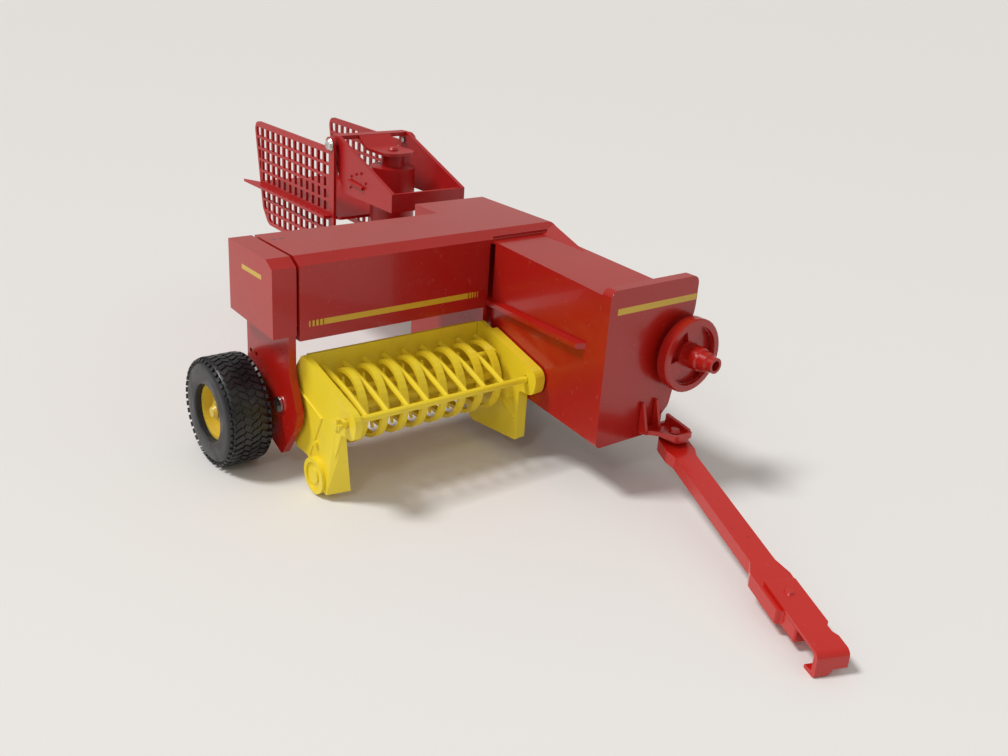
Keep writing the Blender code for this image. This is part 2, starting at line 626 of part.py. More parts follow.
def build_bracket():
    tray = prism("drawbar_bracket", bracket_outline(22 * MM, 0.0), "XY", BRACKET_SHELF, BRACKET_LIP)
    under = prism("under", rounded([(PANEL_FRONT + GAP, 31.8 * MM, 0.5 * MM), (95.6 * MM, 32.4 * MM, 3 * MM),
                                    (96.6 * MM, BRACKET_LEFT - 0.4 * MM, 3 * MM),
                                    (PANEL_FRONT + GAP, BRACKET_LEFT - 0.4 * MM, 0.5 * MM)]),
                  "XY", BRACKET_BOTTOM, BRACKET_SHELF + 0.5 * MM)
    room = prism("room", bracket_outline(22 * MM, BRACKET_WALL), "XY", BRACKET_FLOOR, BRACKET_LIP + 3 * MM)
    tray = cut(join(tray, under), room)
    back = PANEL_FRONT + GAP
    rim = prism("rim", [(back, BRACKET_SHELF + 0.3 * MM), (back, BRACKET_RIM),
                        (94.6 * MM, BRACKET_LIP + 0.8 * MM), (95 * MM, BRACKET_SHELF + 0.3 * MM)],
                "XZ", BRACKET_LEFT - BRACKET_WALL - 0.2 * MM, BRACKET_LEFT - 0.2 * MM)
    tray = join(tray, rim)
    for y in (23.2 * MM, 31.4 * MM):
        tray = join(tray, prism("gusset", [(back, BRACKET_FLOOR - 0.5 * MM), (back, 40.5 * MM),
                                           (back + 1.2 * MM, 40.5 * MM), (back + 5 * MM, BRACKET_FLOOR - 0.5 * MM)],
                                "XZ", y, y + 1.4 * MM))
    hole = cylinder("hole", (HITCH_X, HITCH_Y, 0.0), (HITCH_X, HITCH_Y, 50 * MM), DRAWBAR_PIN + RUN)
    return cut(tray, hole)


def bar_frame():
    """From the bar's own run, along +X from its pin, to the model."""
    return Matrix.Translation((HITCH_X, HITCH_Y, 0.0)) @ Matrix.Rotation(DRAWBAR_ANGLE, 4, "Z")


def bar_top(along):
    return DRAWBAR_TOP - DRAWBAR_SLOPE * along


def build_drawbar():
    wide = ARM_WIDE / 2
    thin = ARM_NARROW / 2
    plan = rounded([(-wide, -wide, wide), (NECK_START, -wide, 3 * MM), (NECK_END, -thin, 4 * MM),
                    (ARM_END, -thin, 3 * MM), (HEAD_START - 2 * MM, -8.4 * MM, 2 * MM),
                    (109 * MM, -8.4 * MM, 1 * MM), (110 * MM, -6.2 * MM, 1 * MM), (HEAD_END, -6.2 * MM, 1 * MM),
                    (HEAD_END, 6.2 * MM, 1 * MM), (HEAD_START, 7.2 * MM, 3 * MM), (ARM_END, thin, 3 * MM),
                    (NECK_END, thin, 4 * MM), (NECK_START, wide, 3 * MM), (-wide, wide, wide)])
    bar = prism("drawbar", plan, "XY", 0.0, 40 * MM)
    side = prism("side", [(-20 * MM, bar_top(-20 * MM)), (HEAD_END + 9 * MM, bar_top(HEAD_END + 9 * MM)),
                          (HEAD_END + 9 * MM, bar_top(HEAD_END + 9 * MM) - DRAWBAR_DEPTH),
                          (-20 * MM, bar_top(-20 * MM) - DRAWBAR_DEPTH)], "XZ", -30 * MM, 30 * MM)
    boolean(bar, side, "INTERSECT")
    groove = hull("groove", [(x, way * half, z) for x, half in ((NECK_END + 2 * MM, thin - 1.6 * MM), (ARM_END, thin - 1.6 * MM))
                             for way in (-1, 1)
                             for z in (bar_top(x) - DRAWBAR_DEPTH - 3 * MM, bar_top(x) - 2.0 * MM)])
    hole = cylinder("hole", (0.0, 0.0, 0.0), (0.0, 0.0, 50 * MM), DRAWBAR_PIN + RUN)
    bar = cut(bar, groove, hole)
    bar.data.transform(bar_frame())
    return bar


def build_hook():
    """Latch plate on the bar's head, bent down into the hook that reaches the table."""
    half = HOOK_WIDTH / 2
    start = LATCH_START
    under = bar_top(start) + GAP
    foot = HOOK_END - HOOK_WALL
    end_top = bar_top(HOOK_END) + GAP + HOOK_PLATE
    outline = rounded([(start, under, 0), (start, under + HOOK_PLATE, 0.4 * MM), (HOOK_END, end_top, 2.6 * MM),
                       (HOOK_END, 0.0, 1.2 * MM), (foot - 4.2 * MM, 0.0, 0.5 * MM),
                       (foot - 4.2 * MM, 1.5 * MM, 0.5 * MM), (foot, 1.9 * MM, 0.4 * MM),
                       (foot, bar_top(foot) + GAP, 1.0 * MM)])
    hook = prism("hitch_hook", outline, "XZ", -half, half)
    corner = box("corner", (foot - 9 * MM, 0.6 * MM, -5 * MM), (HOOK_END + 9 * MM, half + 9 * MM, 2.9 * MM))
    chamfer = hull("chamfer", [(x, y, z) for x in (foot - 9 * MM, HOOK_END + 9 * MM)
                               for y, z in ((0.5 * MM, 2.8 * MM), (3.6 * MM, 2.8 * MM), (0.5 * MM, -2.0 * MM),
                                            (-2.2 * MM, -2.0 * MM))])
    notch = hull("notch", [(x, y, z) for z in (0.0, 30 * MM)
                           for x, y in ((117.5 * MM, half + 1 * MM), (120.5 * MM, half - 1.3 * MM),
                                        (123.5 * MM, half - 1.3 * MM), (127.5 * MM, half + 1 * MM))])
    hook = cut(hook, corner, chamfer, notch)
    rivet = LATCH_START + 7 * MM
    button = cylinder("button", (rivet, 0.0, bar_top(rivet) + GAP + 0.4 * MM),
                      (rivet, 0.0, bar_top(rivet) + GAP + HOOK_PLATE + 0.7 * MM), 2.6 * MM, 24, 1.6 * MM)
    hook = join(hook, button)
    hook.data.transform(bar_frame())
    return hook


def build_drawbar_pin():
    top = BRACKET_FLOOR + GAP
    low = bar_top(0.0) - DRAWBAR_DEPTH - 1.1 * MM
    pin = cylinder("drawbar_pin", (HITCH_X, HITCH_Y, low), (HITCH_X, HITCH_Y, top + 0.4 * MM), DRAWBAR_PIN)
    head = cylinder("head", (HITCH_X, HITCH_Y, top), (HITCH_X, HITCH_Y, top + 1.2 * MM), 2.7 * MM, 24, 1.8 * MM)
    foot = cylinder("foot", (HITCH_X, HITCH_Y, low - 1.0 * MM), (HITCH_X, HITCH_Y, low + 0.1 * MM), 3.4 * MM, 24)
    return join(pin, head, foot)


# ---------------------------------------------------------------- pickup

def pickup_outline(foot):
    """Side view of a pickup plate: back, sloping top, round nose, then the foot's own corners."""
    return rounded([(-15 * MM, 26 * MM, 4 * MM), (-15 * MM, 38 * MM, 5 * MM), (0.8 * MM, 57.8 * MM, 2.5 * MM),
                    (45.0 * MM, 46.2 * MM, 5.2 * MM), (43.4 * MM, 35.0 * MM, 4.5 * MM),
                    (33.4 * MM, 34.6 * MM, 1.5 * MM)] + foot)


def build_outer_plate():
    inner_face = PICKUP_OUTER + OUTER_PLATE_THICK
    outline = pickup_outline([(21 * MM, 3.6 * MM, 1 * MM), (13 * MM, 4.5 * MM, 2 * MM),
                              (5 * MM, 13.2 * MM, 2 * MM), (-5 * MM, 13.4 * MM, 3 * MM)])
    plate = prism("pickup_outer_plate", outline, "XZ", PICKUP_OUTER, inner_face)
    skin = PICKUP_OUTER - 1.6 * MM
    foot = hull("foot", [(28.5 * MM, PICKUP_OUTER - 0.3 * MM, 33.2 * MM), (32.9 * MM, inner_face - 0.5 * MM, 33.4 * MM),
                         (26 * MM, inner_face + 0.4 * MM, 32.4 * MM), (17.5 * MM, skin, 4.6 * MM),
                         (24 * MM, skin, 3.1 * MM), (27.8 * MM, -89.5 * MM, 4.3 * MM),
                         (17 * MM, inner_face + 0.4 * MM, 4.6 * MM)])
    wheel_y = PICKUP_OUTER - 3.0 * MM
    wheel = cylinder("wheel", (GAUGE_WHEEL_X, wheel_y, GAUGE_WHEEL_Z),
                     (GAUGE_WHEEL_X, PICKUP_OUTER + 0.6 * MM, GAUGE_WHEEL_Z), GAUGE_WHEEL_RADIUS, 40)
    dish = cylinder("dish", (GAUGE_WHEEL_X, wheel_y - 1 * MM, GAUGE_WHEEL_Z),
                    (GAUGE_WHEEL_X, wheel_y + 0.8 * MM, GAUGE_WHEEL_Z), GAUGE_WHEEL_RADIUS - 1.9 * MM, 32)
    boss = cylinder("boss", (GAUGE_WHEEL_X, wheel_y + 0.1 * MM, GAUGE_WHEEL_Z),
                    (GAUGE_WHEEL_X, wheel_y + 1.6 * MM, GAUGE_WHEEL_Z), 3.4 * MM, 24)
    wheel = cut(wheel, dish)
    pin = cylinder("pin", (13.4 * MM, PICKUP_OUTER - 1.4 * MM, 22.4 * MM),
                   (13.4 * MM, PICKUP_OUTER + 0.6 * MM, 22.4 * MM), 1.2 * MM, 16)
    rib = rod("rib", [(-4 * MM, PICKUP_OUTER - 0.1 * MM, 41.9 * MM), (17.7 * MM, PICKUP_OUTER - 0.1 * MM, 35.5 * MM),
                      (7.4 * MM, PICKUP_OUTER - 0.1 * MM, 15 * MM)], 0.6 * MM)
    plate = join(plate, foot, wheel, boss, pin, rib)
    return drill_plate(plate, PICKUP_OUTER)


def build_inner_plate():
    outline = pickup_outline([(33.4 * MM, 9.7 * MM, 1 * MM), (-1 * MM, 6.6 * MM, 4 * MM)])
    plate = prism("pickup_inner_plate", outline, "XZ", PICKUP_INNER, PICKUP_INNER + INNER_PLATE_THICK)
    edge = prism("edge", rounded([(7.5 * MM, 53.6 * MM, 0), (7.5 * MM, 56.0 * MM, 1 * MM),
                                  (44.8 * MM, 46.1 * MM, 5 * MM), (43.3 * MM, 35.2 * MM, 4.4 * MM),
                                  (33.3 * MM, 34.8 * MM, 1 * MM), (33.3 * MM, 9.9 * MM, 1 * MM),
                                  (29 * MM, 9.7 * MM, 0), (29 * MM, 40 * MM, 3 * MM), (33 * MM, 44.5 * MM, 3 * MM)]),
                 "XZ", PICKUP_INNER + 1 * MM, -0.9 * MM)
    rib = rod("rib", [(21.8 * MM, PICKUP_INNER, 26.5 * MM), (31.5 * MM, PICKUP_INNER, 20.5 * MM)], 0.7 * MM)
    rivet = cylinder("rivet", (27.5 * MM, PICKUP_INNER - 0.7 * MM, 30.5 * MM),
                     (27.5 * MM, PICKUP_INNER + 0.5 * MM, 30.5 * MM), 1.5 * MM, 16)
    return drill_plate(join(plate, edge, rib, rivet), PICKUP_INNER)


def drill_plate(plate, y):
    holes = ((PICKUP_X, PICKUP_Z, PIVOT_RADIUS), (GUARD_BAR_X, GUARD_BAR_Z, GUARD_BAR_RADIUS))
    for x, z, radius in holes:
        plate = cut(plate, cylinder("hole", (x, y - 12 * MM, z), (x, y + 12 * MM, z), radius + RUN, 24))
    reel = cylinder("reel", (REEL_X, y + GAP, REEL_Z), (REEL_X, y + 12 * MM, REEL_Z), 1.5 * MM + RUN, 24)
    shift = 1.2 * MM if y < REEL_MIDDLE else -6 * MM
    reel.data.transform(Matrix.Translation((0.0, shift, 0.0)))
    return cut(plate, reel)


def build_pivot_pins():
    right = cylinder("pickup_rivet_right", (PICKUP_X, CAP_INNER - PLATE_THICK - 0.9 * MM, PICKUP_Z),
                     (PICKUP_X, PICKUP_OUTER + OUTER_PLATE_THICK, PICKUP_Z), PIVOT_RADIUS, 24)
    head = cylinder("head", (PICKUP_X, CAP_INNER - PLATE_THICK - 1.1 * MM, PICKUP_Z),
                    (PICKUP_X, CAP_INNER - PLATE_THICK - GAP, PICKUP_Z), 3.4 * MM, 32)
    bore = cylinder("bore", (PICKUP_X, CAP_INNER - PLATE_THICK - 5 * MM, PICKUP_Z),
                    (PICKUP_X, CAP_INNER - 0.5 * MM, PICKUP_Z), 1.1 * MM, 24)
    right = cut(join(right, head), bore)
    left = cylinder("pickup_rivet_left", (PICKUP_X, PICKUP_INNER - 0.9 * MM, PICKUP_Z),
                    (PICKUP_X, BLOCK_RIGHT + WALL, PICKUP_Z), PIVOT_RADIUS, 24)
    cap = cylinder("head", (PICKUP_X, PICKUP_INNER - 1.2 * MM, PICKUP_Z), (PICKUP_X, PICKUP_INNER - GAP, PICKUP_Z),
                   3.0 * MM, 32)
    return right, join(left, cap)


def build_rear_pan():
    inner_side = PICKUP_OUTER + OUTER_PLATE_THICK + GAP
    return box("pickup_rear_pan", (PAN_X - PAN_THICK, inner_side, REEL_Z - STRIPPER_HEIGHT),
               (PAN_X, PICKUP_INNER - GAP, PAN_TOP))


def oval(shrink, turn):
    """Point on the stripper's curve, by its angle from straight up."""
    return (REEL_X + (STRIPPER_REACH - shrink) * math.sin(turn), REEL_Z + (STRIPPER_HEIGHT - shrink) * math.cos(turn))


def build_stripper(number):
    """One bent band that wraps the reel from its free top end round to the pan's foot."""
    y = FINGER_FIRST + (number + 0.5) * FINGER_PITCH - STRIPPER_WIDTH / 2
    back = PAN_X + GAP
    steps = 19
    turns = [STRIPPER_OPEN + (math.pi - STRIPPER_OPEN) * step / steps for step in range(steps + 1)]
    outline = [oval(0.0, turn) for turn in turns] + [(back, REEL_Z - STRIPPER_HEIGHT),
                                                     (back, REEL_Z - STRIPPER_HEIGHT + STRIPPER_THICK)]
    outline += [oval(STRIPPER_THICK, turn) for turn in reversed(turns)]
    return prism("stripper_%d" % (number + 1), outline, "XZ", y, y + STRIPPER_WIDTH)


def finger_place(y, share):
    """Point on an arched finger, at its share of the way from its free top end to the bar."""
    x = FINGER_TOP_X + (GUARD_BAR_X - FINGER_TOP_X) * share
    rise = FINGER_SLOPE * (GUARD_BAR_X - x) + 4 * FINGER_ARCH * share * (1 - share)
    return (x, y, GUARD_BAR_Z + rise)


def build_windguard():
    bar = cylinder("windguard", (GUARD_BAR_X, PICKUP_OUTER - 2.0 * MM, GUARD_BAR_Z),
                   (GUARD_BAR_X, PICKUP_INNER + INNER_PLATE_THICK + 0.1 * MM, GUARD_BAR_Z), GUARD_BAR_RADIUS, 24)
    knob_y = PICKUP_OUTER - 1.0 * MM
    knob = cylinder("knob", (GUARD_BAR_X, knob_y - 4.6 * MM, GUARD_BAR_Z), (GUARD_BAR_X, knob_y, GUARD_BAR_Z),
                    1.9 * MM, 16)
    wings = [box("wing", (GUARD_BAR_X - x, knob_y - 4.2 * MM, GUARD_BAR_Z - z),
                 (GUARD_BAR_X + x, knob_y - 2.4 * MM, GUARD_BAR_Z + z))
             for x, z in ((2.9 * MM, 1.0 * MM), (1.0 * MM, 2.9 * MM))]
    bar = join(bar, knob, *wings)
    steps = 5
    for number in range(FINGER_COUNT):
        y = FINGER_FIRST + number * FINGER_PITCH
        reach = STUB_SHARE if number == FINGER_COUNT - 1 else 1.0
        bar = join(bar, rod("finger", [finger_place(y, reach * step / steps) for step in range(steps + 1)],
                            FINGER_RADIUS))
    last = FINGER_FIRST + (FINGER_COUNT - 1) * FINGER_PITCH
    stub = cylinder("stub", finger_place(last - FINGER_PITCH, STUB_SHARE - 0.02),
                    finger_place(last + 0.6 * MM, STUB_SHARE - 0.02), STUB_RADIUS, 10)
    return join(bar, stub)


def build_reel():
    ends = (PICKUP_OUTER + OUTER_PLATE_THICK + 1.0 * MM, PICKUP_INNER - 0.8 * MM)
    reel = cylinder("pickup_reel", (REEL_X, ends[0], REEL_Z), (REEL_X, ends[1], REEL_Z), REEL_CORE, 24)
    for y in ends:
        sign = 1 if y < REEL_MIDDLE else -1
        reel = join(reel, cylinder("disc", (REEL_X, y, REEL_Z), (REEL_X, y + sign * 1.4 * MM, REEL_Z), REEL_DISC, 24),
                    cylinder("pivot", (REEL_X, y - sign * 1.6 * MM, REEL_Z), (REEL_X, y + sign * 1 * MM, REEL_Z),
                             1.5 * MM, 16))
    for number in range(4):
        turn = math.radians(20 + 90 * number)
        x = REEL_X + REEL_BAR_CIRCLE * math.cos(turn)
        z = REEL_Z + REEL_BAR_CIRCLE * math.sin(turn)
        reel = join(reel, cylinder("bar", (x, ends[0] + 0.7 * MM, z), (x, ends[1] - 0.7 * MM, z), 1.2 * MM, 8))
        for row in range(FINGER_COUNT - 2):
            y = FINGER_FIRST + (row + 0.5) * FINGER_PITCH
            reel = join(reel, cylinder("tine", (x, y, z), (REEL_X + REEL_TINE_TIP * math.cos(turn), y,
                                                           REEL_Z + REEL_TINE_TIP * math.sin(turn)), 0.7 * MM, 6))
    return reel


# ---------------------------------------------------------------- thrower

def build_turntable():
    base = CHAMBER_TOP + GAP
    foot = DRUM_RADIUS + 1.4 * MM
    profile = [(0.0, base), (foot, base), (foot, base + 1.6 * MM), (DRUM_RADIUS, base + 2.4 * MM),
               (DRUM_RADIUS, DRUM_TOP), (NECK_RADIUS, DRUM_TOP + 0.4 * MM), (NECK_RADIUS, NECK_TOP),
               (0.0, NECK_TOP)]
    return turned("thrower_drum", profile[::-1], (THROWER_X, THROWER_Y, 0.0), "XY", 40)


def build_thrower_rivet():
    top = NECK_TOP + GAP + HOOD_PLATE
    shaft = cylinder("thrower_rivet", (THROWER_X, THROWER_Y, NECK_TOP + GAP),
                     (THROWER_X, THROWER_Y, top + 0.8 * MM), RIVET_RADIUS, 24)
    head = cylinder("head", (THROWER_X, THROWER_Y, top + GAP), (THROWER_X, THROWER_Y, top + 1.6 * MM),
                    2.9 * MM, 24, 1.6 * MM)
    return join(shaft, head)


def build_thrower_frame():
    outline = rounded([(FRAME_FRONT, FRAME_BOTTOM, 0.5 * MM), (FRAME_FRONT, FRAME_FRONT_TOP, 0.5 * MM),
                       (-135.5 * MM, FRAME_TOP, 1.5 * MM), (FRAME_REAR, FRAME_TOP, 3 * MM),
                       (FRAME_REAR, 108.5 * MM, 2 * MM), (-127.5 * MM, FRAME_BOTTOM, 1.5 * MM)])
    frame = prism("thrower_frame", outline, "XZ", THROWER_RIGHT, THROWER_RIGHT + FRAME_PLATE)
    far = prism("far", outline, "XZ", THROWER_LEFT - FRAME_PLATE, THROWER_LEFT)
    front = box("front", (FRAME_FRONT - FRAME_PLATE, THROWER_RIGHT + 0.1 * MM, FRAME_BOTTOM + 0.1 * MM),
                (FRAME_FRONT - 0.1 * MM, THROWER_LEFT - 0.1 * MM, FRAME_FRONT_TOP - 0.1 * MM))
    rear = box("rear", (FRAME_REAR + 0.6 * MM, THROWER_RIGHT + 0.5 * MM, FRAME_TOP - 2.2 * MM),
               (-135.6 * MM, THROWER_LEFT - 0.5 * MM, FRAME_TOP - 0.1 * MM))
    low = NECK_TOP + GAP
    nose = THROWER_X + 10 * MM
    tab = prism("tab", rounded([(THROWER_X - 12 * MM, THROWER_Y - HOOD_HALF, 0),
                                (THROWER_X - 12 * MM, THROWER_Y + HOOD_HALF, 0),
                                (nose, THROWER_Y + HOOD_HALF, 7 * MM), (nose, THROWER_Y - HOOD_HALF, 7 * MM)]),
                "XY", low, low + HOOD_PLATE)
    web = prism("web", [(-137.2 * MM, FRAME_TOP - 1.9 * MM), (-135.4 * MM, FRAME_TOP - 0.3 * MM),
                        (THROWER_X - 11 * MM, low + HOOD_PLATE - 0.1 * MM), (THROWER_X - 11 * MM, low + 0.1 * MM),
                        (THROWER_X - 12.6 * MM, low + 0.1 * MM)],
                "XZ", THROWER_Y - HOOD_HALF + 0.2 * MM, THROWER_Y + HOOD_HALF - 0.2 * MM)
    frame = join(frame, far, front, rear, tab, web)
    hole = cylinder("hole", (THROWER_X, THROWER_Y, low - 5 * MM), (THROWER_X, THROWER_Y, low + 9 * MM),
                    RIVET_RADIUS + RUN, 24)
    bolts = cylinder("bolts", (GUARD_PIVOT_X, THROWER_RIGHT - 9 * MM, GUARD_PIVOT_Z),
                     (GUARD_PIVOT_X, THROWER_LEFT + 9 * MM, GUARD_PIVOT_Z), BOLT_RADIUS + RUN, 24)
    frame = cut(frame, hole, bolts)
    pegs = ((-121.0, 99.6), (-116.0, 101.6), (-111.0, 103.0), (-106.5, 98.6), (-122.0, 93.4))
    for x, z in pegs:
        frame = join(frame, cylinder("peg", (x * MM, THROWER_RIGHT - 0.8 * MM, z * MM),
                                     (x * MM, THROWER_RIGHT + 0.6 * MM, z * MM), 0.7 * MM, 10))
    arm = rod("arm", [(-122.5 * MM, THROWER_RIGHT - 0.7 * MM, 97.0 * MM),
                      (-108.0 * MM, THROWER_RIGHT - 0.7 * MM, 95.6 * MM)], 1.0 * MM)
    return join(frame, arm)


def guard_outline(inset):
    """Side view of a guard, or of the field inside its border that the mesh may fill."""
    ear = 4.0 * MM
    rear = [(GUARD_REAR + inset, GUARD_TOP - inset, 5 * MM - inset), (GUARD_REAR + 9 * MM + inset, 60 * MM, 6 * MM),
            (GUARD_REAR + 16 * MM + inset, GUARD_BOTTOM + 1 * MM + inset, 7 * MM - inset),
            (GUARD_FRONT - inset, GUARD_BOTTOM + inset, 2 * MM - inset / 2)]
    if inset > 0:
        return rounded(rear + [(GUARD_FRONT - inset, GUARD_TOP - inset, 0)])
    return rounded(rear + [(GUARD_PIVOT_X + ear, DECK_Z - 2 * MM, 1 * MM),
                           (GUARD_PIVOT_X + ear, GUARD_PIVOT_Z + ear, ear),
                           (GUARD_PIVOT_X - ear, GUARD_PIVOT_Z + ear, ear),
                           (GUARD_PIVOT_X - ear - 2 * MM, GUARD_TOP, 1 * MM)])


def mesh_cells(outer):
    """Rows of square cells above and below the deck, cut to the field inside the guard's border."""
    size_x = MESH_PITCH_X - MESH_BAR
    size_z = MESH_PITCH_Z - MESH_BAR
    lows = [DECK_Z + DECK_THICK + 1.9 * MM + row * MESH_PITCH_Z for row in range(5)]
    lows += [DECK_Z - MESH_BAR - 0.2 * MM - size_z - row * MESH_PITCH_Z for row in range(3)]
    work = bmesh.new()
    for column in range(MESH_COLUMNS):
        x = GUARD_REAR + MESH_EDGE + 0.6 * MM + column * MESH_PITCH_X + size_x / 2
        for z in lows:
            place = Matrix.Translation((x, outer + GUARD_THICK / 2, z + size_z / 2))
            bmesh.ops.create_cube(work, size=1.0, matrix=place @ Matrix.Diagonal((size_x, 3 * GUARD_THICK,
                                                                                  size_z, 1.0)))
    mesh = bpy.data.meshes.new("cells")
    work.to_mesh(mesh)
    work.free()
    field = prism("field", guard_outline(MESH_EDGE), "XZ", outer - 5 * GUARD_THICK, outer + 5 * GUARD_THICK)
    return boolean(new_object("cells", mesh), field, "INTERSECT")


def build_guard_right():
    outer = THROWER_RIGHT - GUARD_GAP - GUARD_THICK
    guard = prism("guard_right", guard_outline(0.0), "XZ", outer, outer + GUARD_THICK)
    guard = cut(guard, mesh_cells(outer))
    flange = prism("flange", [(FLANGE_TIP, outer - FLANGE_REACH), (GUARD_REAR + 3 * MM, outer + 0.6 * MM),
                              (GUARD_FRONT - 1 * MM, outer + 0.6 * MM), (GUARD_FRONT - 1 * MM, outer - FLANGE_REACH)],
                   "XY", DECK_Z, DECK_Z + DECK_THICK)
    guard = join(guard, flange)
    bolt = cylinder("bolt", (GUARD_PIVOT_X, outer - 9 * MM, GUARD_PIVOT_Z),
                    (GUARD_PIVOT_X, outer + 9 * MM, GUARD_PIVOT_Z), BOLT_RADIUS + RUN, 24)
    return cut(guard, bolt)


def mirrored(piece, name):
    """Copy on the other side of the thrower's middle plane."""
    mesh = piece.data.copy()
    mesh.transform(Matrix.Translation((0.0, 2 * THROWER_Y, 0.0)) @ Matrix.Diagonal((1.0, -1.0, 1.0, 1.0)))
    mesh.flip_normals()
    return new_object(name, mesh)


def build_deck():
    right = THROWER_RIGHT - GUARD_GAP + GAP
    left = THROWER_LEFT + GUARD_GAP - GAP
    outline = rounded([(GUARD_REAR + 2 * MM, right, 0), (GUARD_REAR + 2 * MM, left, 0),
                       (DECK_FRONT, left, 2 * MM), (DECK_FRONT, right, 2 * MM)])
    return prism("guard_deck", outline, "XY", DECK_Z, DECK_Z + DECK_THICK)


def build_guard_bolt():
    outer = THROWER_RIGHT - GUARD_GAP - GUARD_THICK
    bolt = cylinder("guard_bolt_right", (GUARD_PIVOT_X, outer - 0.8 * MM, GUARD_PIVOT_Z),
                    (GUARD_PIVOT_X, THROWER_RIGHT + FRAME_PLATE + 0.6 * MM, GUARD_PIVOT_Z), BOLT_RADIUS, 24)
    head = cylinder("head", (GUARD_PIVOT_X, outer - GAP, GUARD_PIVOT_Z), (GUARD_PIVOT_X, outer - 1.6 * MM, GUARD_PIVOT_Z),
                    3.6 * MM, 32, 2.6 * MM)
    return join(bolt, head)


# ---------------------------------------------------------------- assembly

clear_scene()
COLLECTION = bpy.data.collections.new("square_baler")
bpy.context.scene.collection.children.link(COLLECTION)

root = empty("baler_root", (0.0, 0.0, 0.0))
root.location = (-CENTRE_X, -CENTRE_Y, 0.0)
body = empty("body", (0.0, 0.0, 0.0), root)
pivots = {
    "right_wheel": empty("right_wheel_axis", (AXLE_X, RIGHT_TYRE_INNER - TYRE_WIDTH / 2, AXLE_Z), body),
    "left_wheel": empty("left_wheel_axis", (AXLE_X, LEFT_TYRE_INNER + TYRE_WIDTH / 2, AXLE_Z), body),
    "flywheel": empty("flywheel_axis", (PANEL_FRONT, FLYWHEEL_Y, FLYWHEEL_Z), body),
    "drawbar": empty("drawbar_axis", (HITCH_X, HITCH_Y, DRAWBAR_TOP), body),
    "pickup": empty("pickup_axis", (PICKUP_X, PICKUP_OUTER, PICKUP_Z), body),
    "thrower": empty("thrower_axis", (THROWER_X, THROWER_Y, NECK_TOP), body),
}
pivots["reel"] = empty("reel_axis", (REEL_X, PICKUP_OUTER, REEL_Z), pivots["pickup"])
pivots["guard"] = empty("guard_axis", (GUARD_PIVOT_X, THROWER_Y, GUARD_PIVOT_Z), pivots["thrower"])

for build in (build_bale_case, build_end_frame, build_front_panel, build_bale_chamber,
              build_bracket):
    finish(build(), body, RED)
finish(build_axle(), body, STEEL)
finish(build_flywheel_pin(), body, STEEL)
finish(build_drawbar_pin(), body, STEEL)
finish(build_turntable(), body, RED_PLASTIC)
finish(build_thrower_rivet(), body, RED_PLASTIC)
for rivet in build_pivot_pins():
    finish(rivet, body, STEEL)

for side, inner, way in (("right", RIGHT_TYRE_INNER, -1), ("left", LEFT_TYRE_INNER, 1)):
    tyre, rim = build_wheel(side, inner, way)
    finish(tyre, pivots[side + "_wheel"], RUBBER)
    finish(rim, pivots[side + "_wheel"], YELLOW_RIM)

finish(build_flywheel(), pivots["flywheel"], RED)
finish(build_drawbar(), pivots["drawbar"], RED)
finish(build_hook(), pivots["drawbar"], RED)

finish(build_outer_plate(), pivots["pickup"], YELLOW_PLASTIC)
finish(build_inner_plate(), pivots["pickup"], YELLOW_PLASTIC)
finish(build_rear_pan(), pivots["pickup"], YELLOW_PLASTIC)
for band in range(FINGER_COUNT - 1):
    finish(build_stripper(band), pivots["pickup"], YELLOW_PLASTIC)
finish(build_windguard(), pivots["pickup"], YELLOW_PLASTIC)
finish(build_reel(), pivots["reel"], YELLOW_PLASTIC)

finish(build_thrower_frame(), pivots["thrower"], RED_PLASTIC)
guard_right = build_guard_right()
guard_left = mirrored(guard_right, "guard_left")
bolt_right = build_guard_bolt()
bolt_left = mirrored(bolt_right, "guard_bolt_left")
for guard in (guard_right, guard_left, build_deck()):
    finish(guard, pivots["guard"], RED_PLASTIC)
for bolt in (bolt_right, bolt_left):
    finish(bolt, pivots["thrower"], STEEL)
bpy.context.view_layer.update()
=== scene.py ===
# %% [markdown]
# # A toy square baler, dressed for its shelf
# The toy is die-cast metal under red enamel, with moulded yellow and red plastic, black tyres and steel
# pins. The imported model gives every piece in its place, so this script only adds finishes, treaded
# tyres, a table, lamps and a camera.

# %% Load the frame
import json
import math

import bmesh
import bpy
from mathutils import Matrix, Vector


